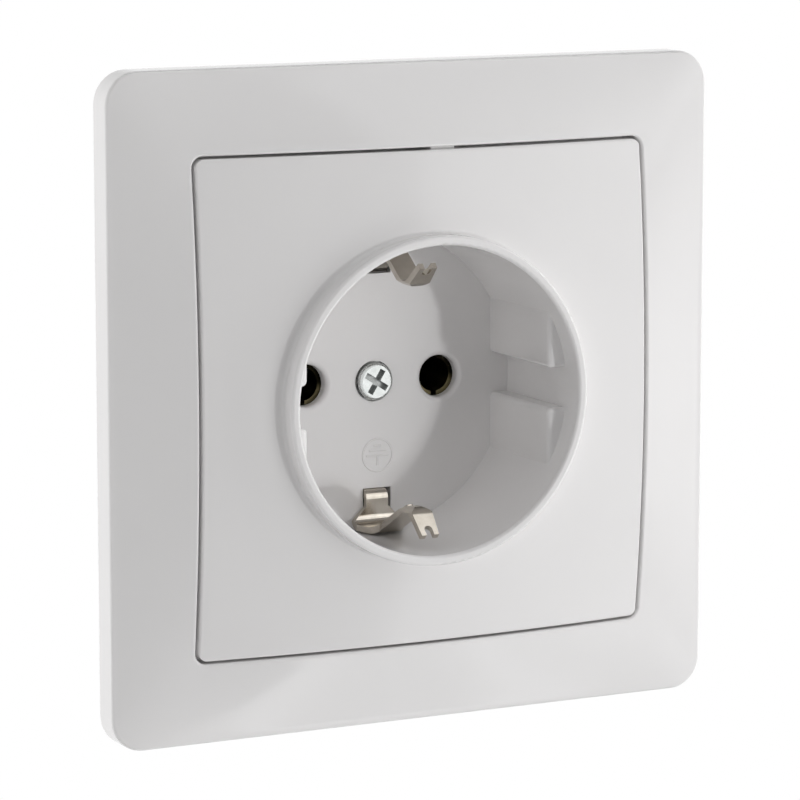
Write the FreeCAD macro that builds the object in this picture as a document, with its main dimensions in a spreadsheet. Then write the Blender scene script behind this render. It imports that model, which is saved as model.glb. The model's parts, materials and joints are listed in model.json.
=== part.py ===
# Type F wall socket: flush insert with support ring, cover frame and centre plate.
#
# Frame of the part, in millimetres: X to the right and Z up on the wall, Y into the wall.
# The origin lies on the wall's surface, on the axis of the plug well. A "height" is a
# distance out of the wall, so a height of 4 is Y = -4, and what is in the wall is negative.
import FreeCAD, Part
import Sketcher
import math
import os
import re

from FreeCAD import Placement, Rotation, Vector

# Driving sizes: name, value and meaning.
SIZES = (
    ("frame_side", 84.0, "outer side of the square cover frame"),
    ("frame_corner", 4.2, "corner radius of the frame's outline"),
    ("frame_edge", 3.74, "height of the frame's straight outer edge"),
    ("frame_wall", 1.6, "wall of the frame's moulding"),
    ("frame_member", 10.5, "width of the frame between its outer edge and the opening"),
    ("opening_corner", 1.5, "corner radius of that opening"),
    ("ledge_width", 1.5, "width of the ledge that the centre plate presses on"),
    ("ledge_thick", 1.7, "thickness of that ledge"),
    ("edge_round", 0.4, "rounding of the moulded edges in front"),
    ("mouth_round", 0.3, "rounding of the edges on both sides of the gap"),
    ("mouth_bow", 1.15, "radius of the plate's rounding over its width"),
    ("face_slope", 15.0, "mean slope of the frame's face, in degrees"),
    ("crown_radius", 258.0, "radius of the sphere that crowns the face"),
    ("crown_top", 9.42, "height of that sphere over the wall"),
    ("plate_gap", 0.35, "gap between the centre plate and the frame"),
    ("plate_wall", 1.8, "wall of the centre plate's shell"),
    ("skirt_wall", 1.5, "wall of the centre plate's skirt"),
    ("web_thick", 1.2, "thickness of the webs under the centre plate"),
    ("nub_width", 3.3, "width of the locating nub in the upper gap"),
    ("nub_offset", 2.25, "place of that nub beside the middle"),
    ("nub_length", 3.6, "length of that nub along the depth"),
    ("rim_height", 10.95, "height of the lip round the well"),
    ("lip_width", 1.25, "width of that lip"),
    ("lip_foot", 0.5, "hollow radius at the foot of the lip"),
    ("well_radius", 19.55, "radius of the plug well"),
    ("well_depth", 19.1, "depth of the well from its lip"),
    ("cup_wall", 1.7, "wall of the well"),
    ("floor_thick", 1.5, "thickness of the well's floor"),
    ("rib_depth", 2.62, "distance of the guide ribs' flat faces from the well's wall"),
    ("rib_height", 7.6, "height of the ribs' front ends"),
    ("rib_slot", 5.16, "width of the slot between two ribs"),
    ("rib_round", 0.6, "rounding of the ribs' front edges"),
    ("rib_corner", 0.7, "rounding of the ribs' edges along their slot"),
    ("pin_pitch", 19.0, "distance between the two pins"),
    ("pin_hole_radius", 2.7, "radius of the pin holes in the floor"),
    ("pin_hole_round", 0.65, "rounding of the pin holes' mouths"),
    ("screw_radius", 1.5, "radius of the centre screw's shank"),
    ("screw_head_radius", 2.45, "radius of the centre screw's head"),
    ("screw_head_thick", 1.6, "thickness of the centre screw's head"),
    ("screw_head_round", 0.45, "rounding of the head's edge"),
    ("screw_sink", 0.8, "depth of the seat for that head in the floor"),
    ("screw_length", 9.0, "length of the centre screw under its head"),
    ("cross_length", 3.5, "length of the head's cross recess"),
    ("cross_width", 0.8, "width of the head's cross recess"),
    ("cross_depth", 1.0, "depth of the head's cross recess"),
    ("cross_turn", 58.0, "turn of the cross recess about the screw, in degrees"),
    ("fit_gap", 0.2, "clearance of pieces that fit into each other"),
    ("thread_gap", 0.05, "clearance where a thread or a spring holds"),
    ("ring_lap", 4.0, "reach of the steel support ring beyond the frame's opening"),
    ("ring_corner", 6.0, "corner radius of the support ring"),
    ("ring_thick", 1.2, "thickness of the support ring"),
    ("slot_share", 0.6085, "place of the fixing slots between the ring's opening and its edge"),
    ("slot_width", 4.0, "width of the fixing slots"),
    ("slot_length", 9.0, "length of the fixing slots"),
    ("corner_inset", 10.5, "distance of the corner holes from the ring's edges"),
    ("corner_hole_radius", 2.1, "radius of the corner holes"),
    ("ring_screw_radius", 1.25, "radius of the two screws that hold the ring to the base"),
    ("ring_screw_head", 2.2, "radius of their heads"),
    ("ring_screw_head_thick", 1.3, "thickness of their heads"),
    ("ring_screw_turn", 22.5, "turn of these screws from the level, in degrees"),
    ("ring_screw_length", 7.0, "length of these screws under the head"),
    ("barrel_wall", 5.15, "wall of the base's round front"),
    ("base_width", 46.0, "width of the base's block"),
    ("base_high", 40.0, "height of the base's block along Z"),
    ("base_corner", 8.0, "corner radius of the base's block"),
    ("base_depth", 31.5, "depth of the base in the wall"),
    ("base_floor", 3.0, "thickness of the base's back wall"),
    ("shoulder_thick", 3.0, "thickness of the floor under the contact cover"),
    ("cover_thick", 1.6, "thickness of the contact cover"),
    ("chamber_width", 8.4, "width of the contact chambers"),
    ("chamber_reach", 17.6, "reach of the chambers from the axis along Z"),
    ("wire_hole_radius", 2.1, "radius of the wire entries in the back"),
    ("access_gap", 0.4, "clearance of the holes over the terminal screws round their heads"),
    ("sleeve_bore", 2.2, "inner radius of the contact sleeves"),
    ("sheet_thick", 0.8, "thickness of the contact strips and the earth strip"),
    ("sleeve_end", 1.25, "gap between the contact sleeves and the back of their chambers"),
    ("sleeve_slit", 0.8, "width of the slits in the sleeves"),
    ("sleeve_slit_share", 0.52, "share of the sleeves' length that is slit"),
    ("tongue_width", 5.0, "width of the terminal tongues"),
    ("tongue_place", 11.5, "distance of the terminal tongues from the axis"),
    ("spring_thick", 0.5, "thickness of the sleeve springs"),
    ("spring_share", 0.55, "share of the slits that the sleeve springs cover"),
    ("spring_gap", 0.6, "gap between the sleeve springs and the contact cover"),
    ("spring_slot", 1.6, "slot of the sleeve springs"),
    ("cage_width", 8.0, "width of the terminal cages"),
    ("cage_end", 1.85, "gap between the terminal cages and the back of their chambers"),
    ("cage_wall", 1.1, "wall of the terminal cages under the tongue"),
    ("cage_side", 1.3, "side walls of the terminal cages"),
    ("cage_window", 4.4, "clear height in the terminal cages"),
    ("cage_head", 1.5, "threaded wall of the terminal cages"),
    ("clamp_share", 0.285, "radius of the clamp screws over the length of their cages"),
    ("clamp_head_lap", 0.6, "reach of the clamp screws' heads beyond their shanks"),
    ("clamp_head_thick", 1.8, "thickness of the clamp screws' heads"),
    ("clamp_slot", 0.8, "width of the clamp screws' slots"),
    ("nut_side", 5.5, "side of the square nut"),
    ("nut_thick", 2.4, "thickness of the square nut"),
    ("bridge_width", 5.0, "width of the earth strip across the base"),
    ("clip_leg_inset", 5.55, "distance of the earth clips' legs from the wall of the well"),
    ("clip_width", 3.1, "width of the earth clips' legs and humps"),
    ("clip_shoulder", 6.8, "width of the earth clips at the wall of the well"),
    ("clip_tip_width", 2.3, "width of the earth clips' tips"),
    ("clip_flare_inset", 3.35, "the same where the legs widen to the shoulders"),
    ("clip_slot_left", 1.6, "reach of the floor's slots for the clips to the left"),
    ("clip_slot_right", 2.4, "reach of these slots to the right"),
    ("clip_slot_length", 2.6, "length of these slots away from the axis"),
    ("clip_rest", 0.15, "gap between the clips and the floor of the well"),
    ("clip_wall_inset", 1.55, "distance of the clips' inner face from the wall of the well"),
    ("clip_turn_inset", 1.1, "the same where the clips turn from the wall to the hump"),
    ("clip_turn_height", -4.5, "height of that turn"),
    ("clip_hump_bend", 2.2, "middle radius of the humps"),
    ("clip_hump_crown", 2.1, "radius of the humps' crowned sides, seen from the front"),
    ("upper_hump_inset", 6.55, "distance of the upper hump's corner line from the wall"),
    ("upper_hump_height", 3.3, "height of that line"),
    ("upper_tip_inset", 3.35, "distance of the upper clip's tip from the wall"),
    ("upper_tip_height", 6.9, "height of that tip"),
    ("lower_hump_inset", 5.75, "distance of the lower hump's corner line from the wall"),
    ("lower_hump_height", 4.2, "height of that line"),
    ("lower_tip_inset", 2.25, "distance of the lower clip's tip from the wall"),
    ("lower_tip_height", 7.5, "height of that tip"),
    ("clip_bend", 1.0, "inner radius of the bends in the earth strip"),
    ("clip_fork", 1.1, "width of the round notch in the clips' tips"),
    ("clip_fork_depth", 1.4, "depth of that notch"),
    ("bead_width", 1.1, "width of the bead pressed into the back of the clips"),
    ("bead_depth", 0.35, "depth of that bead"),
    ("bead_start", 1.8, "distance of the bead's end from the hump's corner line"),
)

# Sizes that follow from the driving ones.
DERIVED = (
    ("opening_side", "frame_side - 2 * frame_member"),
    ("plate_side", "opening_side - 2 * plate_gap"),
    ("plate_corner", "opening_corner - plate_gap / 2"),
    ("seat_height", "ring_thick + ledge_thick"),
    ("floor_height", "rim_height - well_depth"),
    ("floor_back", "floor_height - floor_thick"),
    ("cup_radius", "well_radius + cup_wall"),
    ("cup_bore", "cup_radius + fit_gap"),
    ("rib_chord", "well_radius - rib_depth"),
    ("ring_side", "opening_side + 2 * ring_lap"),
    ("slot_pitch", "2 * (cup_bore + (ring_side / 2 - cup_bore) * slot_share)"),
    ("corner_pitch", "ring_side - 2 * corner_inset"),
    ("barrel_radius", "cup_bore + barrel_wall"),
    ("ring_screw_place", "cup_bore + barrel_wall / 2"),
    ("ring_screw_across", "ring_screw_place * cos(ring_screw_turn)"),
    ("ring_screw_up", "ring_screw_place * sin(ring_screw_turn)"),
    ("cover_back", "floor_back - cover_thick"),
    ("chamber_back", "base_floor - base_depth"),
    ("sleeve_radius", "sleeve_bore + sheet_thick"),
    ("sleeve_front", "floor_back - fit_gap"),
    ("sleeve_back", "chamber_back + sleeve_end"),
    ("sleeve_length", "sleeve_front - sleeve_back"),
    ("sleeve_slit_length", "sleeve_length * sleeve_slit_share"),
    ("spring_front", "cover_back - spring_gap"),
    ("spring_length", "sleeve_slit_length * spring_share"),
    ("strap_back", "cover_back - sheet_thick"),
    ("link_back", "strap_back - sheet_thick"),
    ("tail_front", "sleeve_front - sleeve_slit_length - sheet_thick"),
    ("cage_front", "tail_front - sheet_thick - fit_gap"),
    ("cage_length", "cage_front - chamber_back - cage_end"),
    ("cage_low", "tongue_place - cage_wall"),
    ("cage_high", "tongue_place + cage_window"),
    ("cage_top", "cage_high + cage_head"),
    ("clamp_radius", "cage_length * clamp_share"),
    ("clamp_head_radius", "clamp_radius + clamp_head_lap"),
    ("access_radius", "clamp_head_radius + access_gap"),
    ("clamp_length", "cage_top + fit_gap - tongue_place - sheet_thick"),
    ("head_seat", "floor_height - screw_sink"),
    ("head_top", "head_seat + screw_head_thick"),
    ("clip_leg", "well_radius - clip_leg_inset"),
    ("clip_flare", "well_radius - clip_flare_inset"),
    ("clip_wall", "well_radius - clip_wall_inset"),
    ("clip_turn", "well_radius - clip_turn_inset"),
    ("upper_hump", "well_radius - upper_hump_inset"),
    ("upper_tip", "well_radius - upper_tip_inset"),
    ("lower_hump", "well_radius - lower_hump_inset"),
    ("lower_tip", "well_radius - lower_tip_inset"),
)

doc = FreeCAD.newDocument("type_f_wall_socket")


def make_sheets():
    """Write the driving sizes as plain numbers and the derived ones as formulas."""
    driving = doc.addObject("Spreadsheet::Sheet", "Sizes")
    for row, (alias, value, meaning) in enumerate(SIZES, start=1):
        driving.set(f"A{row}", meaning)
        driving.set(f"B{row}", str(value))
        driving.setAlias(f"B{row}", alias)
    derived = doc.addObject("Spreadsheet::Sheet", "Derived")
    for row, (alias, formula) in enumerate(DERIVED, start=1):
        derived.set(f"A{row}", alias)
        derived.setAlias(f"B{row}", alias)
    for row, (alias, formula) in enumerate(DERIVED, start=1):
        derived.set(f"B{row}", "=" + bound(formula))
    doc.recompute()
    return driving


def bound(text):
    """Put the sheet's name before every alias in an expression."""
    driving = {alias for alias, value, meaning in SIZES}
    derived = {alias for alias, formula in DERIVED}

    def with_sheet(match):
        word = match.group(0)
        if word in driving:
            return "Sizes." + word
        return "Derived." + word if word in derived else word

    return re.sub(r"[A-Za-z_]\w*", with_sheet, str(text))


sheet = None


def number(text):
    """Value of an expression in the sheets' aliases."""
    return float(sheet.evalExpression(bound(text)))


def crown(distance):
    """Height of the crowning sphere at a distance from the axis."""
    radius = number("crown_radius")
    return number("crown_top") - radius + math.sqrt(radius ** 2 - distance ** 2)


def pin_point(sketch, geometry, point, across, up):
    """Tie one point of a sketch to two expressions, measured from the origin."""
    for kind, text in (("DistanceX", across), ("DistanceY", up)):
        constraint = Sketcher.Constraint(kind, -1, 1, geometry, point, number(text))
        index = sketch.addConstraint(constraint)
        sketch.setExpression(f"Constraints[{index}]", bound(text))


def fix_radius(sketch, geometry, radius):
    """Tie the radius of a circle or an arc to an expression."""
    index = sketch.addConstraint(Sketcher.Constraint("Radius", geometry, number(radius)))
    sketch.setExpression(f"Constraints[{index}]", bound(radius))


def add_circle(sketch, across, up, radius):
    centre = Vector(number(across), number(up), 0)
    circle = sketch.addGeometry(Part.Circle(centre, Vector(0, 0, 1), number(radius)))
    pin_point(sketch, circle, 3, across, up)
    fix_radius(sketch, circle, radius)


def add_polygon(sketch, corners):
    """Closed outline of straight lines, each corner given by two expressions."""
    points = [Vector(number(across), number(up), 0) for across, up in corners]
    ends = points[1:] + points[:1]
    lines = [sketch.addGeometry(Part.LineSegment(a, b)) for a, b in zip(points, ends)]
    for line, following in zip(lines, lines[1:] + lines[:1]):
        sketch.addConstraint(Sketcher.Constraint("Coincident", line, 2, following, 1))
    for line, (across, up) in zip(lines, corners):
        pin_point(sketch, line, 1, across, up)


def add_profile(sketch, corners):
    """Closed outline of lines and short arcs.

    A corner is two expressions. Two more give an arc to the next corner: its radius, and
    the side, left or right of the way, on which its middle lies."""
    points = [Vector(number(corner[0]), number(corner[1]), 0) for corner in corners]
    segments = []
    for corner, start, end in zip(corners, points, points[1:] + points[:1]):
        if len(corner) == 2:
            segments.append((sketch.addGeometry(Part.LineSegment(start, end)), 1, 2))
            continue
        radius, left = number(corner[2]), corner[3] == "left"
        chord = end - start
        across = Vector(-chord.y, chord.x, 0).normalize() * (1 if left else -1)
        middle = (start + end) / 2 + across * math.sqrt(radius ** 2 - chord.Length ** 2 / 4)
        first, last = (start, end) if left else (end, start)
        begin = math.atan2(first.y - middle.y, first.x - middle.x)
        finish = math.atan2(last.y - middle.y, last.x - middle.x)
        if finish < begin:
            finish += 2 * math.pi
        circle = Part.Circle(middle, Vector(0, 0, 1), radius)
        arc = sketch.addGeometry(Part.ArcOfCircle(circle, begin, finish))
        fix_radius(sketch, arc, corner[2])
        segments.append((arc, 1, 2) if left else (arc, 2, 1))
    for (one, _, end), (other, start, _) in zip(segments, segments[1:] + segments[:1]):
        sketch.addConstraint(Sketcher.Constraint("Coincident", one, end, other, start))
    for (segment, start, _), corner in zip(segments, corners):
        pin_point(sketch, segment, start, corner[0], corner[1])


def add_rectangle(sketch, left, right, low, high):
    add_polygon(sketch, ((left, low), (right, low), (right, high), (left, high)))


def add_rounded(sketch, across, up, width, height, radius):
    """Rectangle with rounded corners round a centre."""
    x, y, r = number(across), number(up), number(radius)
    half_w, half_h = number(width) / 2, number(height) / 2
    inner = ((x + half_w - r, y + half_h - r), (x - half_w + r, y + half_h - r),
             (x - half_w + r, y - half_h + r), (x + half_w - r, y - half_h + r))
    arcs = []
    for quarter, (cx, cy) in enumerate(inner):
        start = quarter * math.pi / 2
        circle = Part.Circle(Vector(cx, cy, 0), Vector(0, 0, 1), r)
        arcs.append(sketch.addGeometry(Part.ArcOfCircle(circle, start, start + math.pi / 2)))
    for quarter, arc in enumerate(arcs):
        following = arcs[(quarter + 1) % 4]
        a = sketch.getPoint(arc, 2)
        b = sketch.getPoint(following, 1)
        line = sketch.addGeometry(Part.LineSegment(a, b))
        sketch.addConstraint(Sketcher.Constraint("Tangent", arc, 2, line, 1))
        sketch.addConstraint(Sketcher.Constraint("Tangent", line, 2, following, 1))
    half_across = f"({width}) / 2 - ({radius})"
    half_up = f"({height}) / 2 - ({radius})"
    signs = (("+", "+"), ("-", "+"), ("-", "-"), ("+", "-"))
    for arc, (sign_x, sign_y) in zip(arcs, signs):
        pin_point(sketch, arc, 3, f"{across} {sign_x} ({half_across})", f"{up} {sign_y} ({half_up})")
    fix_radius(sketch, arcs[0], radius)


def add_slot(sketch, across, up, length, width, upright):
    """Slot with round ends round a centre."""
    run = f"(({length}) - ({width})) / 2"
    centres = [(across, f"{up} + {run}"), (across, f"{up} - {run}")] if upright else [
        (f"{across} + {run}", up), (f"{across} - {run}", up)]
    start = 0 if upright else -math.pi / 2
    radius = number(width) / 2
    arcs = []
    for turn, (cx, cy) in enumerate(centres):
        circle = Part.Circle(Vector(number(cx), number(cy), 0), Vector(0, 0, 1), radius)
        begin = start + turn * math.pi
        arcs.append(sketch.addGeometry(Part.ArcOfCircle(circle, begin, begin + math.pi)))
    for arc, following in ((arcs[0], arcs[1]), (arcs[1], arcs[0])):
        line = sketch.addGeometry(
            Part.LineSegment(sketch.getPoint(arc, 2), sketch.getPoint(following, 1)))
        sketch.addConstraint(Sketcher.Constraint("Tangent", arc, 2, line, 1))
        sketch.addConstraint(Sketcher.Constraint("Tangent", line, 2, following, 1))
    for arc, (cx, cy) in zip(arcs, centres):
        pin_point(sketch, arc, 3, cx, cy)
    fix_radius(sketch, arcs[0], f"({width}) / 2")


def new_body(label):
    body = doc.addObject("PartDesign::Body", label)
    body.Label = label
    return body


def datum(body, role):
    """Origin plane or axis of a body."""
    return next(item for item in body.Origin.OriginFeatures if item.Role == role)


def new_sketch(body, name, height="0", role="XZ_Plane"):
    """Sketch on the wall plane or another origin plane, moved along its normal."""
    sketch = body.newObject("Sketcher::SketchObject", f"{body.Name}_{name}")
    sketch.AttachmentSupport = [(datum(body, role), "")]
    sketch.MapMode = "FlatFace"
    sketch.setExpression(".AttachmentOffset.Base.z", bound(height))
    return sketch


def pad(sketch, length, back=False):
    """Add material from a sketch, out of the wall or, with back, into it."""
    body = sketch.getParentGeoFeatureGroup()
    feature = body.newObject("PartDesign::Pad", sketch.Name + "_pad")
    feature.Profile = sketch
    feature.setExpression("Length", bound(length))
    feature.Reversed = back
    sketch.Visibility = False
    doc.recompute()
    return feature


def pocket(sketch, length=None, back=True):
    """Cut a sketch into the body, into the wall or, without back, out of it."""
    body = sketch.getParentGeoFeatureGroup()
    before = body.Shape.Volume
    feature = body.newObject("PartDesign::Pocket", sketch.Name + "_pocket")
    feature.Profile = sketch
    if length is None:
        feature.Type = "ThroughAll"
        feature.Midplane = True
    else:
        feature.setExpression("Length", bound(length))
    feature.Reversed = not back
    doc.recompute()
    must_shrink(feature, before)
    return feature


def must_shrink(feature, before):
    if not feature.Shape.Volume < before:
        raise ValueError(f"{feature.Name} cuts nothing")


def revolve(sketch, cut=False):
    """Turn a sketch on the XY plane about the part's Y axis."""
    body = sketch.getParentGeoFeatureGroup()
    before = body.Shape.Volume if cut else 0
    kind = "PartDesign::Groove" if cut else "PartDesign::Revolution"
    feature = body.newObject(kind, sketch.Name + "_turned")
    feature.Profile = sketch
    feature.ReferenceAxis = (sketch, ["V_Axis"])
    feature.Angle = 360
    doc.recompute()
    if cut:
        must_shrink(feature, before)
    return feature


def round_edges(body, kind, size, chosen):
    """Round or bevel the edges of the body's tip that a test picks."""
    base = body.Tip
    names = [f"Edge{i}" for i, edge in enumerate(base.Shape.Edges, start=1) if chosen(edge)]
    feature = body.newObject(f"PartDesign::{kind}", f"{body.Name}_{kind.lower()}_{base.Name}")
    feature.Base = (base, names)
    feature.setExpression("Radius" if kind == "Fillet" else "Size", bound(size))
    doc.recompute()
    return feature


def is_circle(edge, radius, height):
    """Whether an edge is a circle about a Y axis, with its radius and height."""
    curve = edge.Curve
    if not isinstance(curve, Part.Circle):
        return False
    return abs(curve.Radius - number(radius)) < 0.01 and abs(curve.Center.y + number(height)) < 0.01


def ring_face(outer, inner):
    """Flat face between two outlines of one height."""
    face = Part.Face(outer)
    return face.cut(Part.Face(inner))


def square_outline(half, corner, height):
    """Edges of a rounded square round the axis: right side first, then by turns."""
    near = half - corner
    edges = []
    for turn in range(4):
        angle = math.radians(90 * turn)
        edges.append((spin(half, -near, angle), spin(half, 0, angle), spin(half, near, angle)))
        diagonal = near + corner * math.sqrt(0.5)
        edges.append((spin(half, near, angle), spin(diagonal, diagonal, angle),
                      spin(near, half, angle)))
    return [tuple(Vector(x, -height(x, z), z) for x, z in edge) for edge in edges]


def spin(across, up, angle):
    return (across * math.cos(angle) - up * math.sin(angle),
            across * math.sin(angle) + up * math.cos(angle))


def edge_through(points):
    """Line or arc through three points."""
    start, middle, end = points
    if (middle - start).cross(end - start).Length < 1e-6:
        return Part.LineSegment(start, end).toShape()
    return Part.Arc(start, middle, end).toShape()


def sloping_ring(outlines, foot):
    """Square ring ruled from outline to outline, with upright walls down to its foot."""
    (outer_half, outer_corner, _), (inner_half, inner_corner, _) = outlines[0], outlines[-1]
    ground = ((outer_half, outer_corner), (inner_half, inner_corner))
    outer_foot, inner_foot = [(half, corner, lambda x, z: foot) for half, corner in ground]
    rows = [[edge_through(points) for points in square_outline(*outline)]
            for outline in (outer_foot, *outlines, inner_foot)]
    faces = []
    for row, following in zip(rows, rows[1:]):
        faces.extend(Part.makeRuledSurface(a, b) for a, b in zip(row, following))
    bottom = ring_face(Part.Wire(rows[0]), Part.Wire(rows[-1]))
    faces.extend(bottom.Faces)
    shell = Part.makeShell(faces)
    shell.sewShape()
    solid = Part.makeSolid(shell)
    if solid.Volume < 0:
        solid.reverse()
    return solid


def rounded_edge(half, corner, height, radius, turn, steps):
    """Outlines round the edge of an upright wall, from the wall's side to the face.

    A positive radius rounds a ring's outer edge, a negative one the edge of its opening."""
    size = abs(radius)
    outlines = []
    for step in range(steps + 1):
        angle = turn * step / steps
        offset = radius * (math.cos(angle) - 1)
        drop = size * (math.tan(turn / 2) - math.sin(angle))
        outlines.append((half + offset, corner + offset,
                         lambda x, z, offset=offset, drop=drop: height(math.hypot(x, z) - offset) - drop))
    return outlines


def square_prism(half, corner, low, high):
    outline = [edge_through(p) for p in square_outline(half, corner, lambda x, z: low)]
    return Part.Face(Part.Wire(outline)).extrude(Vector(0, low - high, 0))


def make_frame():
    """Cover frame: ruled face, hollow back, and the ledge that the centre plate presses on."""
    half = number("frame_side / 2")
    wall = number("frame_wall")
    opening = number("opening_side / 2")
    corner = number("opening_corner")
    ring_thick = number("ring_thick")
    seat = number("seat_height")
    edge = number("frame_edge")
    slope = math.radians(number("face_slope"))
    outer_edge = rounded_edge(half, number("frame_corner"), lambda distance: edge,
                              number("edge_round"), math.pi / 2 - slope, 3)
    mouth = rounded_edge(opening, corner, crown, -number("mouth_round"), math.pi / 2 + slope, 4)
    solid = sloping_ring(outer_edge + mouth[::-1], 0)
    rise = (crown(opening) - edge) * wall / (half - opening)
    under_edge = (half - wall, number("frame_corner - frame_wall"),
                  lambda x, z: edge + rise / 2 - wall)
    under_mouth = (opening + wall, corner + wall, lambda x, z: crown(math.hypot(x, z)) - wall)
    hollow = sloping_ring([under_edge, under_mouth], 0)
    ledge_half = number("opening_side / 2 - ledge_width")
    ledge = square_prism(opening + wall / 2, corner + wall / 2, ring_thick, seat)
    ledge = ledge.cut(square_prism(ledge_half, corner, 0, seat + wall))
    recess = square_prism(half - wall, number("frame_corner - frame_wall"), 0, ring_thick)
    solid = solid.cut(hollow).cut(recess).fuse(ledge).removeSplitter()
    frame = doc.addObject("Part::Feature", "cover_frame")
    frame.Label = "cover_frame"
    frame.Shape = solid
    return frame


def crown_sketch(body, name):
    """Sketch on the XY plane with its origin in the middle of the crowning sphere."""
    sketch = new_sketch(body, name, role="XY_Plane")
    sketch.setExpression(".AttachmentOffset.Base.y", bound("crown_radius - crown_top"))
    return sketch


def roll(sketch, cut=False):
    """Turn a crown sketch to both sides about its X axis, as far as the plate reaches."""
    body = sketch.getParentGeoFeatureGroup()
    before = body.Shape.Volume if cut else 0
    kind = "PartDesign::Groove" if cut else "PartDesign::Revolution"
    feature = body.newObject(kind, sketch.Name + "_rolled")
    feature.Profile = sketch
    feature.ReferenceAxis = (sketch, ["H_Axis"])
    feature.setExpression("Angle", bound("4 * asin(plate_side / 2 / crown_radius)"))
    feature.Midplane = True
    doc.recompute()
    if cut:
        must_shrink(feature, before)
    return feature


def add_crown_band(sketch, low, high):
    """Band between two spheres about the sketch's origin, wider than the plate."""
    reach = "(plate_side / 2 + plate_wall)"
    heights = [f"-sqrt(({radius})^2 - {reach}^2)" for radius in (low, high)]
    add_profile(sketch, ((f"-{reach}", heights[0], low, "left"), (reach, heights[0]),
                         (reach, heights[1], high, "right"), (f"-{reach}", heights[1])))


def add_lip_profile(sketch):
    """Section of the lip: rounded rim, and a hollow foot that ends on the crowning sphere."""
    outer = "(well_radius + lip_width)"
    root = "plate_wall - crown_top"
    shoulder = "edge_round - rim_height"
    foot = f"({outer} + lip_foot)"
    grown = "(crown_radius + lip_foot)"
    foot_y = f"(crown_radius - crown_top - sqrt({grown}^2 - {foot}^2))"
    touch_x = f"{foot} * crown_radius / {grown}"
    touch_y = f"crown_radius - crown_top - sqrt(crown_radius^2 - ({touch_x})^2)"
    add_profile(sketch, (
        ("well_radius", root), ("well_radius", shoulder, "edge_round", "left"),
        ("well_radius + edge_round", "-rim_height"),
        (f"{outer} - edge_round", "-rim_height", "edge_round", "left"),
        (outer, shoulder), (outer, foot_y, "lip_foot", "right"), (touch_x, touch_y), (touch_x, root)))


def soften_outline(body):
    """Round the plate's outline by grooves that are turned about the sphere's centre."""
    sketch = crown_sketch(body, "outline")
    half = "plate_side / 2"
    inset = f"({half} - mouth_round)"
    inner = "(crown_radius - mouth_round)"
    wall_y = f"-sqrt({inner}^2 - {inset}^2)"
    grown = f"crown_radius / {inner}"
    face_x, face_y = f"{inset} * {grown}", f"{wall_y} * {grown}"
    far_x, far_y = f"{half} + mouth_round", f"{face_y} - mouth_round"
    add_profile(sketch, ((half, wall_y), (far_x, wall_y), (far_x, far_y), (face_x, far_y),
                         (face_x, face_y, "mouth_round * mouth_bow", "left")))
    groove = roll(sketch, cut=True)
    turn_about_axis(body, groove, 4)


def add_pin_holes(body):
    """Pin holes with rounded mouths, as grooves turned about their own middles."""
    sketch = new_sketch(body, "pin_hole", role="XY_Plane")
    sketch.setExpression(".AttachmentOffset.Base.x", bound("pin_pitch / 2"))
    wide = "pin_hole_radius + pin_hole_round"
    add_profile(sketch, (("0", "-floor_height - fit_gap"), (wide, "-floor_height - fit_gap"),
                         (wide, "-floor_height", "pin_hole_round", "right"),
                         ("pin_hole_radius", "pin_hole_round - floor_height"),
                         ("pin_hole_radius", "fit_gap - floor_back"), ("0", "fit_gap - floor_back")))
    turn_about_axis(body, revolve(sketch, cut=True), 2)


def turn_about_axis(body, feature, count):
    """Repeat a feature round the part's Y axis."""
    before = body.Shape.Volume
    pattern = body.newObject("PartDesign::PolarPattern", f"{feature.Name}_turned")
    pattern.Originals = [feature]
    pattern.Axis = (datum(body, "Y_Axis"), [""])
    pattern.Occurrences = count
    pattern.Angle = 360
    body.Tip = pattern
    doc.recompute()
    if pattern.Shape.Volume == before:
        raise ValueError(f"{pattern.Name} changes nothing")


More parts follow.
